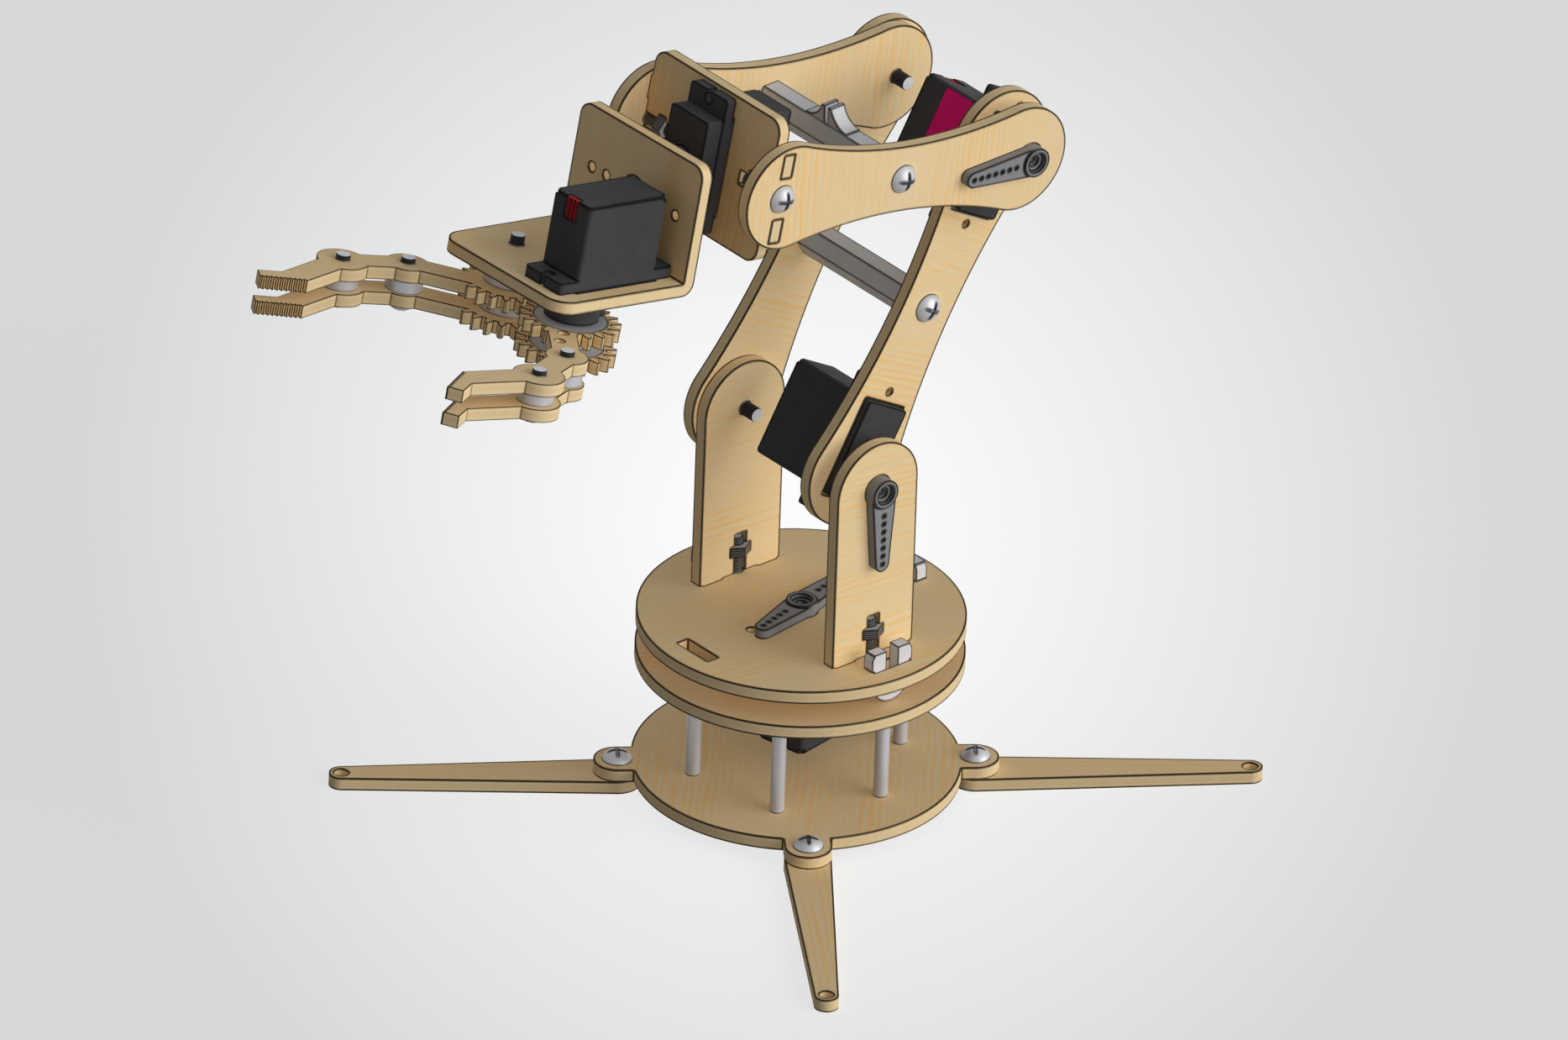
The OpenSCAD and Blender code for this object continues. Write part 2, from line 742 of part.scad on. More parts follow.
module standoffs() {
    color(steel) for (i = [0:standoff_count - 1])
        rotate(standoff_turn + i * 360 / standoff_count)
            translate([standoff_at, 0, standoff_z]) {
                cylinder(h = standoff_h, r = standoff_r);
                translate([0, 0, -ply])
                    cylinder(h = standoff_h + 2 * ply, r = standoff_pin_r);
            }
}

// Disc that the turntable glides on, with the yaw servo hung under it
module fixed_disc() {
    color(wood) translate([0, 0, fixed_z]) linear_extrude(ply) difference() {
        circle(disc_r, $fn = 144);
        rotate(yaw_servo_turn) servo_cutout();
        standoff_holes();
    }
}

module at_yaw_servo() {
    translate([0, 0, fixed_z]) rotate(yaw_servo_turn) children();
}

// Turntable

// Slot of a glide clip, in the direction of +X
module glide_slot() {
    translate([glide_at, 0]) square([glide_slot_w, glide_slot_l], center = true);
}

// Round plate with four glide slots and the seats of the two uprights
module turntable_disc() {
    color(wood) translate([0, 0, turntable_z]) linear_extrude(ply) difference() {
        circle(disc_r, $fn = 144);
        for (a = [0, 90, 180, 270]) rotate(a) glide_slot();
        horn_holes([0, 180], far_only = true);
        for (s = [-1, 1]) translate([0, s * (upright_in + ply / 2)]) {
            circle(m3_hole_r);
            translate([0, ply / 2]) tabs(grow = fit);
        }
    }
}

// Outline of an upright, with the pivot at the origin
module upright_outline() {
    circle(upright_w / 2);
    translate([-upright_w / 2, -shoulder_h]) square([upright_w, shoulder_h]);
    translate([0, -shoulder_h]) tabs();
}

module near_upright() {
    color(wood) translate([0, 0, shoulder_z]) across(upright_in) difference() {
        upright_outline();
        translate([0, -shoulder_h]) tee_slot();
        horn_holes([-90], far_only = true);
    }
}

module far_upright() {
    color(wood) translate([0, 0, shoulder_z]) across(-upright_out) difference() {
        upright_outline();
        translate([0, -shoulder_h]) tee_slot();
        circle(m3_r);
    }
}

// Bolts and nuts that pull the uprights onto the turntable
module upright_fasteners() {
    color(steel) for (s = [-1, 1]) translate([0, s * (upright_in + ply / 2), 0]) {
        translate([0, 0, turntable_z]) rotate([180, 0, 0]) screw(ply + tee_bolt_l);
        translate([0, 0, deck_z + nut_from_edge]) rotate(30) nut();
    }
}

// Outline of a glide clip: the runner below the turntable and two prongs above
module glide_outline() {
    neck = glide_slot_l / 2 - glide_gap;
    runner_r = turntable_z - fixed_z - ply - runner_gap;
    hook_x = neck + prong_hook;
    round_r = min(prong_round, prong_h / 2);
    difference() {
        union() {
            intersection() {
                circle(runner_r);
                translate([-runner_r, -runner_r]) square([2 * runner_r, runner_r]);
            }
            translate([-neck, -over]) square([2 * neck, ply + prong_h + over]);
            for (s = [-1, 1]) scale([s, 1]) {
                translate([0, ply + slip]) square([hook_x, prong_h - slip - round_r]);
                translate([hook_x - round_r, ply + prong_h - round_r])
                    circle(round_r, $fn = 32);
            }
        }
        translate([-prong_gap / 2, -runner_r / 3])
            square([prong_gap, runner_r / 3 + ply + prong_h + over]);
    }
}

// Three glide clips; the fourth slot, at the front, is left empty
module glide_clips() {
    clip_t = glide_slot_w - 2 * glide_gap;
    color(steel) for (a = [90, 180, 270]) rotate(a)
        translate([glide_at - clip_t / 2, 0, turntable_z])
            rotate([90, 0, 90]) linear_extrude(clip_t) glide_outline();
}

// Shoulder

// Frame of the shoulder servo: its shaft points along +Y through the near upright
module at_shoulder_servo() {
    at_shoulder() translate([0, near_lower_in, 0]) rotate([-90, 0, 0])
        rotate(180) children();
}

// Frame of the elbow servo: its shaft points along +Y through the forearm
module at_elbow_servo() {
    at_shoulder() translate([arm_l, near_lower_in, 0]) rotate([-90, 0, 0]) children();
}

// The same axes in the frame of what the two shafts drive
module at_shoulder_horn() {
    translate([0, upright_in, shoulder_z]) rotate([-90, 0, 0]) children();
}

module at_elbow_horn() {
    at_elbow() translate([0, upright_in, 0]) rotate([-90, 0, 0]) children();
}

// Bolt across the far side, with its head outside and its thread end inward
module pivot_bolt() {
    head_y = far_lower_out + slip;
    color(steel) translate([0, -head_y, 0]) rotate([90, 0, 0])
        screw(head_y - upright_in + pivot_stub);
}

// Lower arm

module lower_outline() {
    dogbone(arm_l, arm_end_r, lower_waist);
}

module near_lower_plate() {
    color(wood) at_shoulder() across(near_lower_in) difference() {
        lower_outline();
        rotate(180) servo_cutout();
        translate([arm_l, 0]) servo_cutout();
        translate([arm_l / 2, 0]) circle(m3_hole_r);
    }
}

module far_lower_plate() {
    color(wood) at_shoulder() across(-far_lower_out) difference() {
        lower_outline();
        circle(m3_hole_r);
        translate([arm_l, 0]) circle(m3_hole_r);
        translate([arm_l / 2, 0]) circle(m3_hole_r);
    }
}

module lower_bar() {
    at_shoulder() translate([arm_l / 2, 0, 0]) rotate([0, lower_clip_turn, 0])
        cross_bar(-far_lower_in, near_lower_in);
}

// Pair of screws into the ends of a bar; the faces are those of the plates
module bar_screws(near_face, far_face) {
    color(steel) {
        translate([0, near_face, 0]) rotate([-90, 0, 0]) screw(bar_screw_l - slip);
        translate([0, far_face, 0]) rotate([90, 0, 0]) screw(bar_screw_l - slip);
    }
}

module lower_bar_screws() {
    at_shoulder() translate([arm_l / 2, 0, 0])
        bar_screws(near_lower_out, -far_lower_out);
}

// Forearm

module forearm_outline() {
    nose = wrist_at - fore_nose_back;
    translate([fore_tail, 0]) dogbone(nose - fore_tail, arm_end_r, fore_waist);
}

// Slots for the wrist plate's tabs and the hole for the bolt between them
module wrist_joint_holes() {
    translate([wrist_at, 0]) {
        circle(m3_hole_r);
        translate([ply / 2, 0]) rotate(-90) tabs(grow = fit);
    }
}

module near_forearm_plate() {
    color(wood) at_elbow() across(upright_in) difference() {
        forearm_outline();
        horn_holes([elbow_horn_turn], far_only = true);
        translate([fore_bar_at, 0]) circle(m3_hole_r);
        wrist_joint_holes();
    }
}

module far_forearm_plate() {
    color(wood) at_elbow() across(-upright_out) difference() {
        forearm_outline();
        circle(m3_r);
        translate([fore_bar_at, 0]) circle(m3_hole_r);
        wrist_joint_holes();
    }
}

module forearm_bar() {
    at_elbow() translate([fore_bar_at, 0, 0]) rotate([0, fore_clip_turn, 0])
        cross_bar(-upright_in, upright_in);
}

// Plate between the forearm plates that carries the wrist servo
module wrist_plate() {
    color(wood) at_elbow() translate([wrist_back, 0, 0]) rotate([90, 0, 90])
        linear_extrude(ply) difference() {
            union() {
                rounded(inside_w, wrist_plate_h, wrist_corner_r);
                for (s = [-1, 1]) rotate(s * 90) translate([0, -upright_in]) tabs();
            }
            for (s = [-1, 1]) rotate(s * 90) translate([0, -upright_in]) tee_slot();
            square([servo_w + 2 * case_gap, servo_l + 2 * case_gap], center = true);
            for (s = [-1, 1]) translate([0, s * servo_hole_span / 2])
                circle(servo_hole_r * 3 / 4);
        }
}

// Screws of the forearm's bar, and the bolts and nuts that hold the wrist plate
module forearm_fasteners() {
    at_elbow() translate([fore_bar_at, 0, 0]) bar_screws(upright_out, -upright_out);
    color(steel) at_elbow() for (s = [-1, 1]) translate([wrist_at, 0, 0]) {
        translate([0, s * upright_out, 0]) rotate([-s * 90, 0, 0])
            screw(ply + tee_bolt_l);
        translate([0, s * (upright_in - nut_from_edge), 0]) rotate([s * 90, 0, 0])
            nut();
    }
}

// Frame of the wrist servo: its shaft points forward, below the case's middle
module at_wrist_servo() {
    at_elbow() translate([wrist_ear_front, 0, -wrist_axis_down])
        rotate([0, 90, 0]) children();
}

// The same axis in the frame of the gripper, at the bracket's side of the boss
module at_wrist_horn() {
    at_gripper() translate([-ply - horn_t - ply, 0, 0])
        rotate([0, 90, 0]) children();
}

// Gripper

// Bent bracket: an upright back and a floor with a rounded bend between them
module gripper_bracket() {
    color(wood) at_gripper() difference() {
        union() {
            translate([-ply, 0, 0]) rotate([90, 0, 90]) linear_extrude(ply)
                translate([0, floor_top]) difference() {
                    union() {
                        translate([0, bracket_h / 2])
                            rounded(bracket_w, bracket_h, bracket_top_r);
                        translate([-bracket_w / 2, 0])
                            square([bracket_w, bracket_h / 2]);
                    }
                    translate([0, bracket_axis_h]) horn_holes([0, 180]);
                }
            translate([0, 0, floor_under]) linear_extrude(ply) {
                translate([0, -bracket_w / 2])
                    square([bracket_l - bracket_front_r, bracket_w]);
                translate([bracket_l / 2, 0])
                    rounded(bracket_l, bracket_w, bracket_front_r);
            }
            intersection() {
                translate([0, bracket_w / 2, floor_top]) rotate([90, 0, 0])
                    cylinder(h = bracket_w, r = ply);
                translate([-ply, -bracket_w / 2, floor_under])
                    cube([ply, bracket_w, ply]);
            }
        }
        translate([gear_x, gear_span / 2, floor_under - over])
            linear_extrude(ply + 2 * over) servo_cutout();
        translate([gear_x, -gear_span / 2, floor_under - over])
            cylinder(h = ply + 2 * over, r = m3_r);
    }
}

// Frame of the gripper servo: it stands on the floor with its shaft down
module at_gripper_servo() {
    at_gripper() translate([gear_x, gear_span / 2, floor_top])
        rotate([180, 0, 0]) children();
}

// Spacer that holds the idle finger at the height of the driven one
module idler_spacer() {
    h = floor_under - finger_top - slip;
    color(steel) at_gripper() translate([gear_x, -gear_span / 2, floor_under - h])
        spacer(h, idle_spacer_r);
}

// Bolt that the idle finger turns on
module idler_bolt() {
    color(steel) at_gripper()
        translate([gear_x, -gear_span / 2, finger_under - slip])
            rotate([180, 0, 0]) screw(floor_top + idler_stub - finger_under + slip);
}

// Fingers

// Gear outline; phase is 0 for a tooth at the meshing point or 0.5 for a gap
module gear_outline(phase) {
    polygon([
        for (i = [0:teeth - 1]) each tooth(mesh_turn + (i + phase) * tooth_step)
    ]);
}

// Points of the serrated face, from its root to the tip
function jaw_teeth_points(pitch) = [
    for (i = [0:jaw_teeth - 1]) each [
        [jaw_x + i * pitch, jaw_y],
        [jaw_x + (i + 1 / 2) * pitch, jaw_y + jaw_tooth_deep]
    ]
];

// Jaw with its serrated face along y = jaw_y
module jaw_outline() {
    root = [jaw_x, jaw_y];
    run = heading(boss_2, root) + asin(finger_w / (2 * norm(root - boss_2)));
    side = polar(finger_w / 2, run + 90);
    polygon(concat(
        [boss_2 - side],
        jaw_teeth_points(jaw_l / jaw_teeth),
        [[jaw_tip_x, jaw_y], [jaw_tip_x, jaw_y + jaw_t]],
        [root + 2 * side + polar(knee_l, run), boss_2 + side]
    ));
}

// Outline of a closed finger round its gear axis, with +Y pointing outward
module finger_outline(phase, hub_r) {
    difference() {
        union() {
            gear_outline(phase);
            link([root_x, 0], boss_1, finger_w);
            translate(boss_1) circle(boss_1_r);
            link(boss_1, boss_2, finger_w);
            translate(boss_2) circle(boss_2_r);
            jaw_outline();
        }
        circle(hub_r);
        for (b = [boss_1, boss_2]) translate(b) circle(m3_r);
    }
}

module drive_layer(top) {
    color(wood) at_finger(1) translate([0, 0, top - ply]) linear_extrude(ply)
        difference() {
            finger_outline(0, drive_hub_r);
            for (r = trim_at) rotate(trim_turn) translate([r, 0]) circle(trim_r);
        }
}

module idler_layer(top) {
    color(wood) at_finger(-1) translate([0, 0, top - ply]) linear_extrude(ply)
        mirror([0, 1]) finger_outline(1 / 2, idle_hub_r);
}

// Hub of a finger: a disc in each layer and a neck between them
module finger_hub(hub_r, neck_r, bore_r, bore_deep) {
    color(plastic) difference() {
        union() {
            translate([0, 0, finger_top - ply]) cylinder(h = ply, r = hub_r);
            translate([0, 0, finger_under]) cylinder(h = ply, r = hub_r);
            translate([0, 0, finger_under])
                cylinder(h = finger_top - finger_under, r = min(hub_r, neck_r));
            translate([0, 0, lower_finger_top]) cylinder(h = finger_gap, r = neck_r);
        }
        translate([0, 0, finger_top - bore_deep])
            cylinder(h = bore_deep + over, r = bore_r);
        translate([0, 0, finger_under - over])
            cylinder(h = finger_top - finger_under, r = min(bore_r, horn_bore_r));
    }
}

// Spacers between the two layers at both bosses
module finger_spacers(side) {
    color(steel) at_finger(side) for (b = [boss_1, boss_2])
        translate([b[0], side * b[1], lower_finger_top])
            spacer(finger_gap, spacer_r);
}

// Bolts through both layers, with their heads below
module finger_bolts(side) {
    color(steel) at_finger(side) for (b = [boss_1, boss_2])
        translate([b[0], side * b[1], finger_under]) rotate([180, 0, 0])
            screw(finger_top - finger_under + finger_stub);
}

module drive_finger_hub() {
    at_finger(1) finger_hub(drive_hub_r, spacer_r, shaft_r, shaft_out);
}

module idler_finger_hub() {
    at_finger(-1)
        finger_hub(idle_hub_r, idle_spacer_r, m3_hole_r, finger_top - finger_under);
}

base_plate();
leg(0);  // leg_1
leg(1);  // leg_2
leg(2);  // leg_3
leg(3);  // leg_4
leg_screws();
standoffs();
fixed_disc();
at_yaw_servo() servo_case();  // yaw_servo_case
at_yaw_servo() servo_cover();  // yaw_servo_cover
at_yaw_servo() servo_leads();  // yaw_servo_leads
turntable_disc();
near_upright();
far_upright();
upright_fasteners();
glide_clips();
at_yaw_servo() servo_shaft();  // yaw_servo_shaft
translate([0, 0, turntable_z]) rotate(yaw_horn_turn) horn([0, 180], horn_double_l);  // yaw_horn
at_shoulder_servo() servo_shaft();  // shoulder_servo_shaft
at_shoulder_horn() horn([90], horn_single_l);  // shoulder_horn
translate([0, 0, shoulder_z]) pivot_bolt();  // shoulder_pivot_bolt
near_lower_plate();
far_lower_plate();
lower_bar();
lower_bar_screws();
at_shoulder_servo() servo_case();  // shoulder_servo_case
at_shoulder_servo() servo_cover();  // shoulder_servo_cover
at_elbow_servo() servo_case();  // elbow_servo_case
at_elbow_servo() servo_cover();  // elbow_servo_cover
union() {  // arm_servo_leads
    at_shoulder_servo() servo_leads();
    at_elbow_servo() servo_leads();
}
near_forearm_plate();
far_forearm_plate();
forearm_bar();
forearm_fasteners();
wrist_plate();
at_wrist_servo() servo_case();  // wrist_servo_case
at_wrist_servo() servo_cover();  // wrist_servo_cover
at_wrist_servo() servo_leads();  // wrist_servo_leads
at_elbow_servo() servo_shaft();  // elbow_servo_shaft
at_elbow_horn() rotate(-elbow_horn_turn) horn([0], horn_single_l);  // elbow_horn
at_elbow() pivot_bolt();  // elbow_pivot_bolt
gripper_bracket();
at_gripper_servo() servo_case();  // gripper_servo_case
at_gripper_servo() servo_cover();  // gripper_servo_cover
at_gripper_servo() servo_leads();  // gripper_leads
at_wrist_servo() servo_shaft();  // wrist_servo_shaft
at_wrist_horn() rotate(90) horn([0, 180], horn_double_l);  // wrist_horn
idler_bolt();
idler_spacer();
drive_layer(finger_top);  // drive_finger_upper
drive_layer(lower_finger_top);  // drive_finger_lower
drive_finger_hub();
finger_spacers(1);  // drive_finger_spacers
finger_bolts(1);  // drive_finger_bolts
at_gripper_servo() servo_shaft();  // gripper_servo_shaft
idler_layer(finger_top);  // idler_finger_upper
idler_layer(lower_finger_top);  // idler_finger_lower
idler_finger_hub();
finger_spacers(-1);  // idler_finger_spacers
finger_bolts(-1);  // idler_finger_bolts
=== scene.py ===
"""Looks, light and camera for the plywood robot arm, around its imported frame."""

import json
import math

import bmesh
import bpy
from mathutils import Matrix, Vector


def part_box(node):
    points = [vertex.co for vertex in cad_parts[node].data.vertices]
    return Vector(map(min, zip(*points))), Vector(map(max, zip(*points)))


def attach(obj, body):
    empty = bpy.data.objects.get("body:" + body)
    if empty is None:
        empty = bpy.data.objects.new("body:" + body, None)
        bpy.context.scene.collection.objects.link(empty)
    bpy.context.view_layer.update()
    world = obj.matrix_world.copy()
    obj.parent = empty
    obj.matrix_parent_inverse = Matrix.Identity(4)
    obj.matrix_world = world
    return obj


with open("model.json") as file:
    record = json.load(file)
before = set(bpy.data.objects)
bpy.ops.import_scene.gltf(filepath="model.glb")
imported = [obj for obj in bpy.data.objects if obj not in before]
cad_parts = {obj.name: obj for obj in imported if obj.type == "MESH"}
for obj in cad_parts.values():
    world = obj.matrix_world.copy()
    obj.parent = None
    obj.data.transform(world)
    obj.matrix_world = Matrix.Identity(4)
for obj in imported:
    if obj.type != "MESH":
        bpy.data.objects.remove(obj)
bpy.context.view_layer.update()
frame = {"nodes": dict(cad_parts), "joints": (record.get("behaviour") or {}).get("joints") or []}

MM = 0.001
PER_MM = 1000.0  # turns metres into the millimetres that the textures count in
NODES = frame["nodes"]
JOINTS = {j["name"]: j for j in frame["joints"]}

# Directions
UP = Vector((0, 0, 1))
SIDE = Vector((0, 1, 0))
SHOULDER = Vector(JOINTS["shoulder"]["pos_m"])
ELBOW = Vector(JOINTS["elbow"]["pos_m"])
FORE = Vector(JOINTS["wrist_roll"]["axis"]).normalized()
FORE_UP = FORE.cross(SIDE)
GEAR_UP = Vector(JOINTS["grip"]["axis"]).normalized()
GEAR_SIDE = GEAR_UP.cross(FORE)
ARM = (ELBOW - SHOULDER).normalized()
ARM_UP = ARM.cross(SIDE)


# Node trees
class Tree:
    """The node tree of a new material or of a world, with short calls for its nodes."""

    def __init__(self, name, world=None):
        self.mat = world or bpy.data.materials.new(name)
        self.mat.use_nodes = True
        self.nodes = self.mat.node_tree.nodes
        self.links = self.mat.node_tree.links
        self.shader = self.nodes.get("Principled BSDF")

    def add(self, kind, **settings):
        node = self.nodes.new(kind)
        for key, value in settings.items():
            setattr(node, key, value)
        return node

    def put(self, socket, value):
        if isinstance(value, bpy.types.NodeSocket):
            self.links.new(value, socket)
        else:
            socket.default_value = value

    def math(self, kind, a, b=None, c=None, clamp=False):
        node = self.add("ShaderNodeMath", operation=kind, use_clamp=clamp)
        for socket, value in zip(node.inputs, (a, b, c)):
            if value is not None:
                self.put(socket, value)
        return node.outputs[0]

    def dot(self, a, b):
        node = self.add("ShaderNodeVectorMath", operation="DOT_PRODUCT")
        self.put(node.inputs[0], a)
        self.put(node.inputs[1], b)
        return node.outputs["Value"]

    def vector(self, x, y, z):
        node = self.add("ShaderNodeCombineXYZ")
        for socket, value in zip(node.inputs, (x, y, z)):
            self.put(socket, value)
        return node.outputs[0]

    def noise(self, vector, scale, detail=3.0, rough=0.5):
        node = self.add("ShaderNodeTexNoise")
        self.put(node.inputs["Vector"], vector)
        node.inputs["Scale"].default_value = scale
        node.inputs["Detail"].default_value = detail
        node.inputs["Roughness"].default_value = rough
        return node.outputs[0]

    def ramp(self, value, low, high, to_low=0.0, to_high=1.0):
        node = self.add("ShaderNodeMapRange", clamp=True)
        for socket, number in zip(node.inputs, (value, low, high, to_low, to_high)):
            self.put(socket, number)
        return node.outputs[0]

    def mix(self, factor, a, b):
        node = self.add("ShaderNodeMix", data_type="RGBA", clamp_factor=True)
        self.put(node.inputs["Factor"], factor)
        colours = [s for s in node.inputs if s.type == "RGBA"]
        self.put(colours[0], a)
        self.put(colours[1], b)
        return [s for s in node.outputs if s.type == "RGBA"][0]

    def edge_mask(self, radius, low=0.003, high=0.022):
        """1 within a radius of a sharp edge, else 0."""
        bevel = self.add("ShaderNodeBevel", samples=8)
        bevel.inputs["Radius"].default_value = radius
        plain = self.add("ShaderNodeNewGeometry")
        bend = self.dot(bevel.outputs[0], plain.outputs["Normal"])
        return self.ramp(self.math("SUBTRACT", 1.0, bend), low, high)

    def backdrop_ray(self):
        """1 for what the camera sees, straight or by gloss or through glass, else 0."""
        ray = self.add("ShaderNodeLightPath").outputs
        seen = self.math("MAXIMUM", ray["Is Camera Ray"], ray["Is Glossy Ray"])
        return self.math("MAXIMUM", seen, ray["Is Transmission Ray"])

    def painted_hollow_shade(self, reach):
        """Painted shade: 1 deep in a slot or recess, else 0."""
        node = self.add("ShaderNodeAmbientOcclusion", samples=8, only_local=True)
        node.inputs["Distance"].default_value = reach
        return self.ramp(node.outputs["AO"], 0.35, 0.8, 1.0, 0.0)

    def bump(self, height, distance, strength=1.0):
        node = self.add("ShaderNodeBump")
        node.inputs["Strength"].default_value = strength
        node.inputs["Distance"].default_value = distance
        self.put(node.inputs["Height"], height)
        self.links.new(node.outputs[0], self.shader.inputs["Normal"])


def srgb(r, g, b):
    """Linear colour of an sRGB one in 0 to 255."""
    def linear(v):
        v /= 255
        return v / 12.92 if v <= 0.04045 else ((v + 0.055) / 1.055) ** 2.4
    return (linear(r), linear(g), linear(b), 1.0)


# Materials
CREAM = srgb(228, 200, 153)
PALE = srgb(232, 208, 163)
ORANGE = srgb(240, 190, 112)
PORE = srgb(186, 150, 104)
CUT = srgb(231, 206, 160)
CUT_INNER = srgb(226, 200, 154)
CUT_STREAK = srgb(206, 174, 124)
GLUE = srgb(160, 126, 84)
BURNT = srgb(20, 14, 9)
# Near black for edge lines, and for painted shade in slots, recesses and threads
EDGE_AND_SHADE_BLACK = (0.012, 0.012, 0.013, 1)
PARTING = (0.006, 0.006, 0.006, 1)
ZINC = srgb(194, 194, 197)
DULL_ZINC = srgb(170, 170, 175)

# How far the dark line beside a sharp edge is looked for; it comes out at a quarter of that
EDGE_R = 0.9 * MM
FINE_EDGE_R = 0.5 * MM
METAL_EDGE_R = 0.6 * MM
STICKER_EDGE_R = 0.4 * MM

THREAD_PITCH = 0.5 * MM


def plywood(name, thick, grain, middle, seed, second=None, edge=EDGE_R):
    """Laser-cut birch ply; thick is its thickness direction, and middle its mid-plane.

    A bent piece has a second thickness direction, and shows no plies.
    """
    t = Tree(name)
    across = thick.cross(grain).normalized()
    coord = t.add("ShaderNodeTexCoord")
    place = coord.outputs["Object"]
    along = t.math("MULTIPLY", t.dot(place, tuple(grain)), PER_MM)
    over = t.math("MULTIPLY", t.dot(place, tuple(across)), PER_MM)
    depth = t.math("SUBTRACT", t.dot(place, tuple(thick)), middle)
    depth = t.math("MULTIPLY", depth, PER_MM)
    face = t.math("ABSOLUTE", t.dot(coord.outputs["Normal"], tuple(thick)))
    if second is not None:
        other = t.math("ABSOLUTE", t.dot(coord.outputs["Normal"], tuple(second)))
        face = t.math("MAXIMUM", face, other)
    face = t.ramp(face, 0.6, 0.75)

    def stretched(length, width, shift, detail, rough):
        """Noise with its own scale along the grain and over it, per mm."""
        spot = t.vector(t.math("MULTIPLY", along, length),
                        t.math("MULTIPLY", over, width), seed + shift)
        return t.noise(spot, 1.0, detail, rough)

    # Growth rings: contour lines of a noise that is stretched along the grain
    rings = stretched(0.006, 0.02, 0, 1.0, 0.4)
    rings = t.math("MULTIPLY_ADD", rings, 9.0, t.math("MULTIPLY", over, 0.55))
    wander = stretched(0.03, 0.35, 2, 2.0, 0.5)
    rings = t.math("FRACT", t.math("MULTIPLY_ADD", wander, 1.6, rings))
    late = t.ramp(rings, 0.35, 0.86)
    fall = t.ramp(rings, 0.86, 1.0, 1.0, 0.0)
    line = t.math("MULTIPLY", late, fall)
    patch = t.ramp(stretched(0.02, 0.07, 9, 2.0, 0.5), 0.4, 0.62)
    line = t.math("MULTIPLY", line, t.math("MULTIPLY_ADD", patch, 0.62, 0.1))
    fibre = stretched(0.16, 3.1, 4, 3.0, 0.6)
    cream = t.mix(t.ramp(fibre, 0.3, 0.7), CREAM, PALE)
    surface = t.mix(line, cream, ORANGE)
    pores = t.ramp(stretched(0.4, 7.0, 7, 1.0, 0.5), 0.66, 0.78)
    surface = t.mix(t.math("MULTIPLY", pores, 0.16), surface, PORE)

    # Cut edge: three plies, the middle one across the grain
    ply_line = t.math("ABSOLUTE", t.math("SUBTRACT", t.math("ABSOLUTE", depth), 0.5))
    glue = t.ramp(ply_line, 0.02, 0.12, 1.0, 0.0)
    inner = t.ramp(t.math("ABSOLUTE", depth), 0.48, 0.54, 1.0, 0.0)
    streak = t.noise(
        t.vector(t.math("MULTIPLY", along, 0.9), t.math("MULTIPLY", over, 0.9), seed), 1.3
    )
    plies = 0.0 if second is not None else 1.0
    cut = t.mix(t.math("MULTIPLY", inner, plies), CUT, CUT_INNER)
    cut = t.mix(t.math("MULTIPLY", glue, 0.1 * plies), cut, GLUE)
    cut = t.mix(t.ramp(streak, 0.35, 0.75, 0.0, 0.12), cut, CUT_STREAK)

    colour = t.mix(face, cut, surface)
    scorch = t.edge_mask(edge)
    colour = t.mix(t.math("MULTIPLY", scorch, 0.93), colour, BURNT)
    t.put(t.shader.inputs["Base Color"], colour)
    t.put(t.shader.inputs["Roughness"], t.ramp(fibre, 0.2, 0.8, 0.52, 0.68))
    t.shader.inputs["Specular IOR Level"].default_value = 0.02
    relief = t.math("ADD", t.math("MULTIPLY", fibre, 0.5), t.math("MULTIPLY", line, 0.3))
    relief = t.math("SUBTRACT", relief, t.math("MULTIPLY", pores, 0.4))
    t.bump(relief, 0.00004, 0.6)
    return t.mat


def moulded(name, colour, shade, rough):
    """Moulded plastic with a fine spark-eroded grain and dark parting edges."""
    t = Tree(name)
    place = t.add("ShaderNodeTexCoord").outputs["Object"]
    cloud = t.noise(place, 160.0, 4.0, 0.6)
    grain = t.noise(place, 5200.0, 2.0, 0.6)
    base = t.mix(t.ramp(cloud, 0.3, 0.7), colour, shade)
    line = t.math("MULTIPLY", t.edge_mask(EDGE_R), 0.9)
    t.put(t.shader.inputs["Base Color"], t.mix(line, base, PARTING))
    t.put(t.shader.inputs["Roughness"],
          t.ramp(cloud, 0.25, 0.75, rough - 0.05, rough + 0.08))
    t.shader.inputs["Specular IOR Level"].default_value = 0.06
    t.bump(grain, 0.00002, 0.5)
    return t.mat


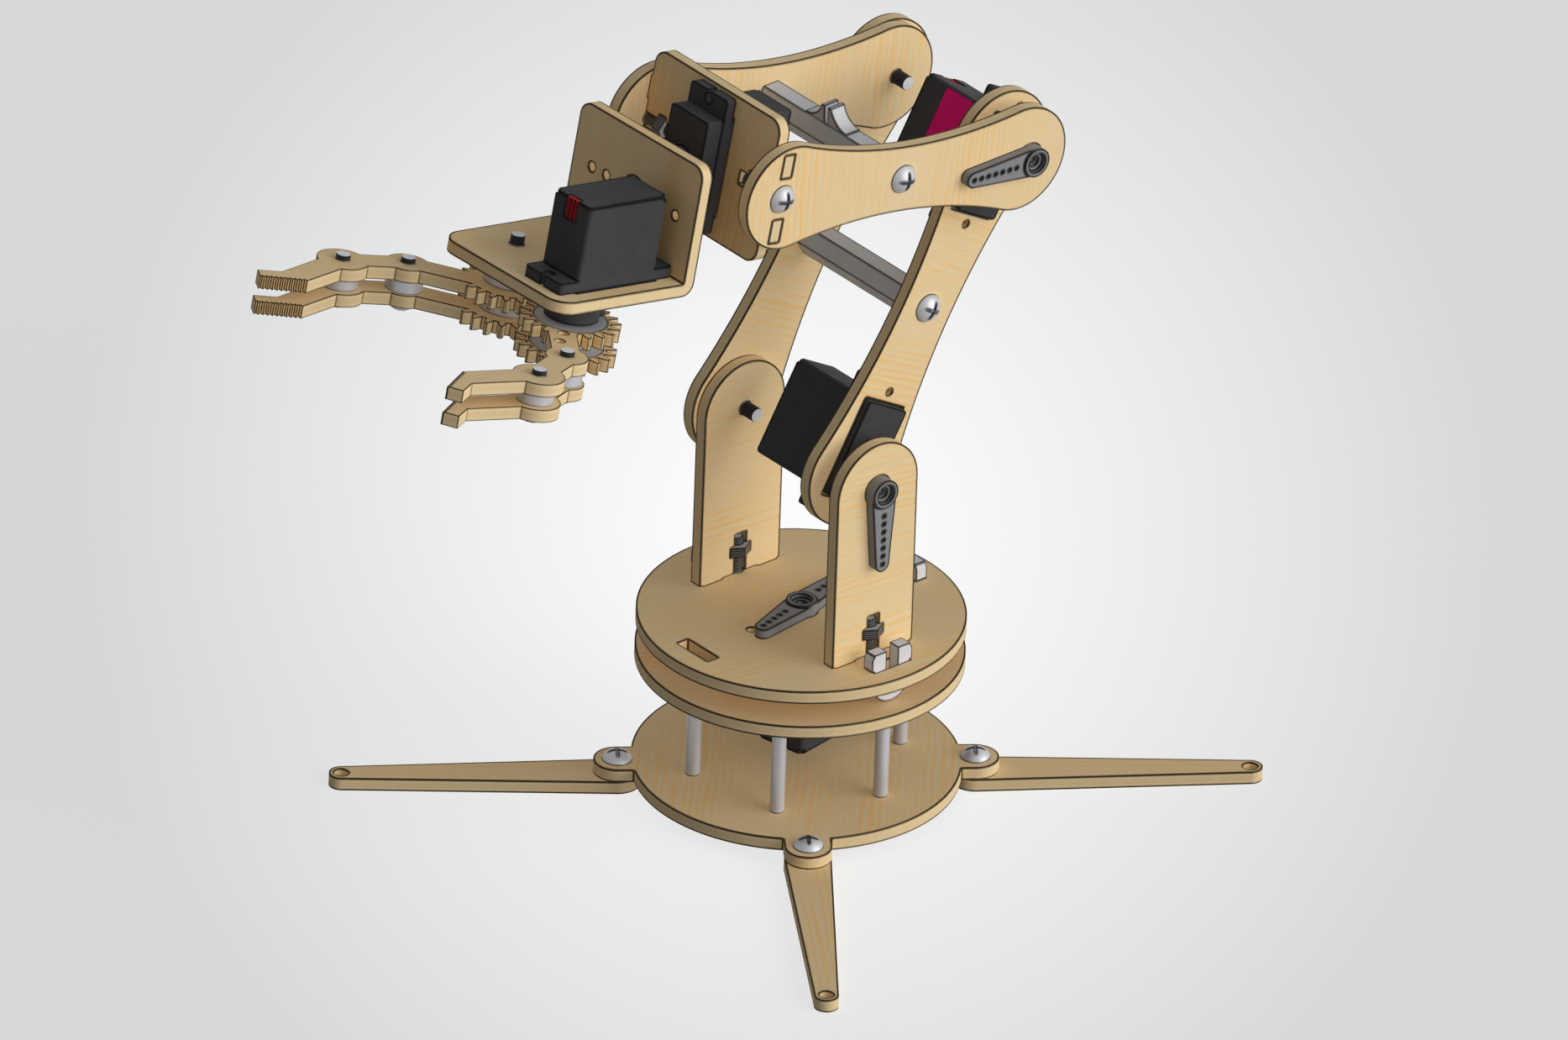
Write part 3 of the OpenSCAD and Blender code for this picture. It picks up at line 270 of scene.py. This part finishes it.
def metal(name, axis, colour=ZINC, rough=0.36, edge=0.9, shine=0.35, gloss=0.5,
          screw=None):
    """Zinc-plated steel, turned about an axis, with fine tool marks.

    screw is the part of the axis that is threaded, which is painted dark as thread shade: its
    middle, and from where to where it reaches on each side of that.
    """
    t = Tree(name)
    place = t.add("ShaderNodeTexCoord").outputs["Object"]
    run = t.math("MULTIPLY", t.dot(place, tuple(axis)), 9000.0)
    drift = t.math("MULTIPLY", t.dot(place, (1, 1, 1)), 60.0)
    marks = t.noise(t.vector(run, 0.0, drift), 1.0, 2.0)
    cloud = t.noise(place, 420.0, 3.0)
    base = t.mix(t.ramp(cloud, 0.3, 0.7, 0.0, 0.12), colour, DULL_ZINC)
    # Black edge lines, and painted shade deep in slots and recesses
    mask = t.math("MAXIMUM", t.edge_mask(METAL_EDGE_R), t.painted_hollow_shade(0.8 * MM))
    base = t.mix(t.math("MULTIPLY", mask, edge), base, EDGE_AND_SHADE_BLACK)
    if screw is not None:
        middle, start, stop = screw
        way = t.math("ABSOLUTE", t.math("SUBTRACT", t.dot(place, tuple(axis)), middle))
        soft = 0.1 * MM
        inside = t.math("MULTIPLY", t.ramp(way, start, start + soft),
                        t.ramp(way, stop - soft, stop, 1.0, 0.0))
        normal = t.add("ShaderNodeNewGeometry").outputs["True Normal"]
        flank = t.math("ABSOLUTE", t.dot(normal, tuple(axis)))
        inside = t.math("MULTIPLY", inside, t.ramp(flank, 0.4, 0.6, 1.0, 0.0))
        # Painted thread shade: the threaded part is painted near black, a little lighter in
        # rings at the thread's pitch
        painted_thread_shade = t.math("FRACT", t.math("DIVIDE", way, THREAD_PITCH))
        painted_thread_shade = t.ramp(t.math("ABSOLUTE", t.math("SUBTRACT", painted_thread_shade, 0.5)), 0.1, 0.3, 0.7, 1.0)
        base = t.mix(t.math("MULTIPLY", inside, painted_thread_shade), base, EDGE_AND_SHADE_BLACK)
    t.put(t.shader.inputs["Base Color"], base)
    t.shader.inputs["Metallic"].default_value = shine
    t.shader.inputs["Specular IOR Level"].default_value = gloss
    t.put(t.shader.inputs["Roughness"], t.ramp(marks, 0.3, 0.7, rough, rough + 0.16))
    t.bump(marks, 0.00001, 0.5)
    return t.mat


def give(names, material):
    for name in names:
        mesh = NODES[name].data
        mesh.materials.clear()
        mesh.materials.append(material)


def middle_of(name, axis):
    """Middle of a node along an axis."""
    values = [v.co.dot(axis) for v in NODES[name].data.vertices]
    return (min(values) + max(values)) / 2


def wood(name, thick, grain, seed, second=None, edge=EDGE_R):
    middle = middle_of(name, thick)
    grain = grain.normalized()
    give([name], plywood("ply_" + name, thick, grain, middle, seed, second, edge))


wood("base_plate", UP, Vector((0.68, 0.73, 0)), 1.0)
wood("fixed_disc", UP, Vector((0.8, -0.6, 0)), 2.0)
wood("turntable_disc", UP, Vector((1, -0.14, 0)), 3.0)
FIRST_LEG = 54
for i in range(4):
    turn = math.radians(FIRST_LEG + 90 * i)
    wood(f"leg_{i + 1}", UP, Vector((math.cos(turn), math.sin(turn), 0)), 4.0 + i)
wood("near_upright", SIDE, Vector((1, 0, 0.05)), 8.4)
wood("far_upright", SIDE, Vector((1, 0, 0.05)), 9.7)
wood("near_lower_plate", SIDE, ARM_UP, 10.3)
wood("far_lower_plate", SIDE, ARM_UP, 11.1)
wood("near_forearm_plate", SIDE, FORE_UP + FORE * 0.1, 12.2)
wood("far_forearm_plate", SIDE, FORE_UP + FORE * 0.1, 13.8)
wood("wrist_plate", FORE, FORE_UP, 14.5)
wood("gripper_bracket", GEAR_UP, GEAR_SIDE, 15.0, FORE)
for i, name in enumerate(
    ("drive_finger_upper", "drive_finger_lower", "idler_finger_upper", "idler_finger_lower")
):
    wood(name, GEAR_UP, FORE, 16.0 + i, edge=FINE_EDGE_R)

CHARCOAL = moulded("servo_plastic", srgb(67, 67, 68), srgb(62, 62, 63), 0.6)
GREY = moulded("grey_plastic", srgb(140, 140, 141), srgb(130, 130, 131), 0.5)
PALE_GREY = moulded("pale_plastic", srgb(211, 211, 212), srgb(204, 204, 205), 0.45)
give([n for n in NODES if n.endswith(("servo_case", "servo_cover"))], CHARCOAL)
give([n for n in NODES if n.endswith("_horn")], GREY)
give([n for n in NODES if n.endswith("_bar")], PALE_GREY)

# Bolts show thread above the deck, and between the forearm plates beside the wrist plate
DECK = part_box("turntable_disc")[1][2]
FOREARM_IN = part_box("near_forearm_plate")[0][1]
give(["leg_screws", "standoffs", "yaw_servo_shaft"], metal("steel_up", UP))
give(["upright_fasteners"],
     metal("steel_upright", UP, screw=(DECK, 0.0, 20 * MM)))
give(["glide_clips"],
     metal("steel_clip", UP, srgb(214, 214, 216), rough=0.5, edge=0.95, shine=0.0,
           gloss=0.06))
give(["shoulder_servo_shaft", "shoulder_pivot_bolt", "lower_bar_screws",
      "elbow_servo_shaft", "elbow_pivot_bolt"], metal("steel_side", SIDE))
give(["forearm_fasteners"],
     metal("steel_forearm", SIDE, screw=(0.0, 8 * MM, FOREARM_IN)))
give(["wrist_servo_shaft"], metal("steel_fore", FORE, edge=0.7))
give([n for n in NODES if n.endswith(("finger_spacers", "finger_bolts", "finger_hub"))]
     + ["idler_bolt", "idler_spacer", "gripper_servo_shaft"],
     metal("steel_gear", GEAR_UP, edge=0.7))


def insulation(name, row):
    """Soft red insulation of leads that lie side by side along a row, with painted shade in the
    gaps between them.
    """
    t = Tree(name)
    place = t.add("ShaderNodeTexCoord").outputs["Object"]
    cloud = t.noise(place, 900.0, 3.0)
    red = t.mix(cloud, srgb(168, 8, 10), srgb(140, 2, 5))
    # Painted shade in the gaps: the sides that face the next lead along the row are painted near
    # black
    side = t.dot(t.add("ShaderNodeNewGeometry").outputs["Normal"], tuple(row))
    painted_gap_shade = t.ramp(t.math("ABSOLUTE", side), 0.6, 0.8)
    t.put(t.shader.inputs["Base Color"], t.mix(painted_gap_shade, red, (0.004, 0.002, 0.002, 1)))
    t.shader.inputs["Specular IOR Level"].default_value = 0.1
    t.put(t.shader.inputs["Roughness"], t.ramp(cloud, 0.3, 0.7, 0.4, 0.55))
    t.bump(t.noise(place, 4000.0), 0.00002, 0.4)
    return t.mat


give(["gripper_leads", "wrist_servo_leads", "yaw_servo_leads"],
     insulation("lead_side", SIDE))
give(["arm_servo_leads"], insulation("lead_arm", ARM_UP))


# Extra pieces: screw threads and a sticker
def piece(name, mesh, body, material):
    obj = bpy.data.objects.new(name, mesh)
    bpy.context.scene.collection.objects.link(obj)
    mesh.materials.append(material)
    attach(obj, body)
    return obj


def finished(name, bm):
    """A mesh with its faces turned outwards; the bmesh is used up."""
    bmesh.ops.recalc_face_normals(bm, faces=bm.faces)
    mesh = bpy.data.meshes.new(name)
    bm.to_mesh(mesh)
    bm.free()
    return mesh


def frame_of(axis):
    """Two directions that are square to an axis."""
    first = axis.cross(UP if abs(axis.dot(UP)) < 0.9 else SIDE).normalized()
    return first, axis.cross(first)


def thread_mesh(name, runs):
    """Screw threads as one mesh; each run is its start, its direction and its length."""
    bm = bmesh.new()
    root, crest = 1.51 * MM, 1.66 * MM
    around, per_turn = 36, 8
    for start, axis, length in runs:
        a, b = frame_of(axis)
        rows = max(2, round(length / THREAD_PITCH * per_turn))
        rings = []
        for i in range(rows + 1):
            z = length * i / rows
            ring = []
            for j in range(around):
                phase = (z / THREAD_PITCH - j / around) % 1
                lift = 1 - abs(2 * phase - 1)
                fade = min(1, min(z, length - z) / (0.3 * THREAD_PITCH))
                radius = root + (crest - root) * lift * fade
                angle = 2 * math.pi * j / around
                spoke = a * math.cos(angle) + b * math.sin(angle)
                ring.append(bm.verts.new(start + axis * z + spoke * radius))
            rings.append(ring)
        for low, high in zip(rings, rings[1:]):
            for j in range(around):
                k = (j + 1) % around
                bm.faces.new((low[j], low[k], high[k], high[j]))
        bm.faces.new(rings[0][::-1])
        bm.faces.new(rings[-1])
    mesh = finished(name, bm)
    for polygon in mesh.polygons:
        polygon.use_smooth = len(polygon.vertices) == 4
    return mesh


def thread_steel(name, axis):
    """Steel with a thread's flanks painted dark as shade and its end face painted bright as lit.
    """
    t = Tree(name)
    geometry = t.add("ShaderNodeNewGeometry")
    end = t.math("ABSOLUTE", t.dot(geometry.outputs["True Normal"], tuple(axis)))
    place = t.add("ShaderNodeTexCoord").outputs["Object"]
    painted_flank_shade = t.mix(t.noise(place, 900.0, 2.0), srgb(26, 26, 28), srgb(44, 44, 46))
    # Painted light and shade: the end face is painted bright, the flanks dark
    t.put(t.shader.inputs["Base Color"],
          t.mix(t.ramp(end, 0.93, 0.97), painted_flank_shade, srgb(236, 236, 238)))
    t.shader.inputs["Metallic"].default_value = 0.0
    t.shader.inputs["Specular IOR Level"].default_value = 0.15
    t.shader.inputs["Roughness"].default_value = 0.5
    return t.mat


PROUD = 0.02 * MM  # keeps a thread's end face off the shank's own
SIDE_THREAD = thread_steel("thread_side", SIDE)
GEAR_THREAD = thread_steel("thread_gear", GEAR_UP)


def run_to_tip(corners, axis, length):
    """A run of thread of that length, up to the end face that the corners reach."""
    end = max(c.dot(axis) for c in corners)
    tip = [c for c in corners if c.dot(axis) > end - 0.001 * MM]
    middle = sum(tip, Vector()) / len(tip)
    return (middle - axis * length, axis, length + PROUD)


def threads(name, node, axis, length, body, spread=None):
    """Thread on a bolt's free end, as a sleeve on its plain shank.

    With spread, the node is two bolts that stand apart along that direction.
    """
    corners = [v.co for v in NODES[node].data.vertices]
    bolts = [corners]
    if spread is not None:
        half = middle_of(node, spread)
        bolts = [[c for c in corners if sign * (c.dot(spread) - half) > 0]
                 for sign in (-1, 1)]
    runs = [run_to_tip(bolt, axis, length) for bolt in bolts]
    material = SIDE_THREAD if axis is SIDE else GEAR_THREAD
    piece(name, thread_mesh(name, runs), body, material)


threads("shoulder_thread", "shoulder_pivot_bolt", SIDE, 4.0 * MM, "turntable")
threads("elbow_thread", "elbow_pivot_bolt", SIDE, 4.0 * MM, "forearm")
threads("idler_thread", "idler_bolt", GEAR_UP, 2.2 * MM, "gripper")
threads("drive_threads", "drive_finger_bolts", GEAR_UP, 1.2 * MM, "drive_finger", FORE)
threads("idler_threads", "idler_finger_bolts", GEAR_UP, 1.2 * MM, "idler_finger", FORE)


def sticker(node, along, over, out, near, far, body):
    """A bare coloured sticker on a case's side; near and far are from the case's back."""
    corners = [v.co for v in NODES[node].data.vertices]
    low_a, high_a = (f(c.dot(along) for c in corners) for f in (min, max))
    low_o = min(c.dot(over) for c in corners)
    skin = max(c.dot(out) for c in corners)
    bm = bmesh.new()
    inset, thick, corner = 5.3 * MM, 0.12 * MM, 0.7 * MM
    sunk = 0.02 * MM
    box = (low_a + inset, high_a - inset, low_o + near, low_o + far)
    outline = []
    for ca, co, turn in ((1, 0, 270), (1, 1, 0), (0, 1, 90), (0, 0, 180)):
        a = box[ca] + (corner if ca == 0 else -corner)
        o = box[2 + co] + (corner if co == 0 else -corner)
        for k in range(7):
            angle = math.radians(turn + 15 * k)
            outline.append((a + corner * math.cos(angle), o + corner * math.sin(angle)))
    rings = []
    for height in (-sunk, thick):
        rings.append([bm.verts.new(along * a + over * o + out * (skin + height))
                      for a, o in outline])
    for k in range(len(outline)):
        n = (k + 1) % len(outline)
        bm.faces.new((rings[0][k], rings[0][n], rings[1][n], rings[1][k]))
    bm.faces.new(rings[0][::-1])
    bm.faces.new(rings[1])
    mesh = finished("sticker", bm)
    t = Tree("sticker_vinyl")
    place = t.add("ShaderNodeTexCoord").outputs["Object"]
    cloud = t.noise(place, 260.0, 3.0)
    vinyl = t.mix(cloud, srgb(240, 0, 124), srgb(226, 0, 112))
    rim = t.math("MULTIPLY", t.edge_mask(STICKER_EDGE_R), 0.9)
    t.put(t.shader.inputs["Base Color"], t.mix(rim, vinyl, EDGE_AND_SHADE_BLACK))
    t.put(t.shader.inputs["Roughness"], t.ramp(cloud, 0.3, 0.7, 0.38, 0.5))
    t.shader.inputs["Specular IOR Level"].default_value = 0.1
    t.bump(t.noise(place, 3000.0, 2.0), 0.00001, 0.4)
    piece("elbow_servo_sticker", mesh, body, t.mat)


sticker("elbow_servo_case", ARM, SIDE, -ARM_UP, 7 * MM, 16.8 * MM, "lower_arm")

# Light and stage
def aim(obj, direction):
    obj.rotation_mode = "QUATERNION"
    obj.rotation_quaternion = Vector(direction).to_track_quat("-Z", "Y")


KEY_WAY = (0.437, -0.858, -0.26)
KEY_STRENGTH = 1.47
KEY_SPREAD = math.radians(60)


def sun(name, shadow):
    """A wide soft sun, low from the side that carries the horns."""
    data = bpy.data.lights.new(name, "SUN")
    data.use_shadow = shadow
    data.energy = KEY_STRENGTH
    data.angle = KEY_SPREAD
    obj = bpy.data.objects.new(name, data)
    bpy.context.scene.collection.objects.link(obj)
    aim(obj, KEY_WAY)


sun("key", True)
sun("fill", False)


def studio():
    """Even light from all round; the camera and gloss see a pale wall instead."""
    world = bpy.data.worlds.new("studio")
    bpy.context.scene.world = world
    t = Tree("studio", world)
    t.nodes.clear()
    ambient = t.add("ShaderNodeBackground")
    ambient.inputs["Color"].default_value = (0.97, 1, 1.08, 1)
    ambient.inputs["Strength"].default_value = 0.25
    wall = t.add("ShaderNodeBackground")
    wall.inputs["Color"].default_value = (0.9, 0.9, 0.9, 1)
    wall.inputs["Strength"].default_value = 1.0
    pick = t.add("ShaderNodeMixShader")
    t.put(pick.inputs[0], t.backdrop_ray())
    t.links.new(ambient.outputs[0], pick.inputs[1])
    t.links.new(wall.outputs[0], pick.inputs[2])
    output = t.add("ShaderNodeOutputWorld")
    t.links.new(pick.outputs[0], output.inputs["Surface"])


studio()


def floor():
    """A plain pale floor that keeps a soft shadow, and glows with a painted pool of light that
    is brightest under the arm.
    """
    half, drop = 3.0, 0.02 * MM
    mesh = bpy.data.meshes.new("floor")
    mesh.from_pydata(
        [(-half, -half, 0), (half, -half, 0), (half, half, 0), (-half, half, 0)],
        [], [(0, 1, 2, 3)],
    )
    obj = bpy.data.objects.new("floor", mesh)
    obj.location = (0, 0, -drop)
    bpy.context.scene.collection.objects.link(obj)
    t = Tree("floor_pale")
    t.nodes.remove(t.shader)
    output = t.nodes["Material Output"]
    place = t.add("ShaderNodeTexCoord").outputs["Object"]

    # The painted pool of light is an oval, longer along one direction than across it
    along = Vector((0.654, 0.756, 0))
    across = Vector((-0.756, 0.654, 0))
    middle = Vector((-0.068, -0.083, 0))
    squeeze = 0.49
    bright_within, dim_beyond = 0.018, 0.155
    run = t.math("SUBTRACT", t.dot(place, tuple(along)), middle.dot(along))
    run = t.math("MULTIPLY", run, squeeze)
    lean = t.math("SUBTRACT", t.dot(place, tuple(across)), middle.dot(across))
    far = t.add("ShaderNodeVectorMath", operation="LENGTH")
    t.put(far.inputs[0], t.vector(run, lean, 0.0))
    glow = t.ramp(far.outputs["Value"], bright_within, dim_beyond)
    diffuse = t.add("ShaderNodeBsdfDiffuse")
    diffuse.inputs["Color"].default_value = (0.3, 0.3, 0.3, 1)
    emit = t.add("ShaderNodeEmission")
    t.put(emit.inputs["Color"],
          t.mix(glow, (0.82, 0.82, 0.82, 1), (0.53, 0.53, 0.53, 1)))
    both = t.add("ShaderNodeAddShader")
    t.links.new(diffuse.outputs[0], both.inputs[0])
    t.links.new(emit.outputs[0], both.inputs[1])
    pick = t.add("ShaderNodeMixShader")
    t.put(pick.inputs[0], t.backdrop_ray())
    t.links.new(diffuse.outputs[0], pick.inputs[1])
    t.links.new(both.outputs[0], pick.inputs[2])
    t.links.new(pick.outputs[0], output.inputs["Surface"])
    mesh.materials.append(t.mat)


floor()

# Camera: a parallel view, as in the photograph
TURN, RISE, ROLL = (math.radians(a) for a in (139.1345, 29.5596, 2.0105))
VIEW_WIDTH = 0.3406
STAND_OFF = 1.0
right = Vector((math.cos(TURN), math.sin(TURN), 0))
back = Vector((math.sin(TURN) * math.cos(RISE), -math.cos(TURN) * math.cos(RISE),
               math.sin(RISE)))
level = back.cross(right)
cam_right = right * math.cos(ROLL) + level * math.sin(ROLL)
cam_up = level * math.cos(ROLL) - right * math.sin(ROLL)
camera_data = bpy.data.cameras.new("camera")
camera_data.type = "ORTHO"
camera_data.ortho_scale = VIEW_WIDTH
camera_data.clip_start, camera_data.clip_end = 0.01, 10
camera = bpy.data.objects.new("camera", camera_data)
bpy.context.scene.collection.objects.link(camera)
target = Vector((0, 0, 42.6 * MM)) - cam_right * 3.77 * MM + cam_up * 19.68 * MM
camera.matrix_world = Matrix.Translation(target + back * STAND_OFF) @ Matrix(
    (cam_right, cam_up, back)).transposed().to_4x4()
bpy.context.scene.camera = camera
bpy.context.scene.view_settings.view_transform = "Standard"
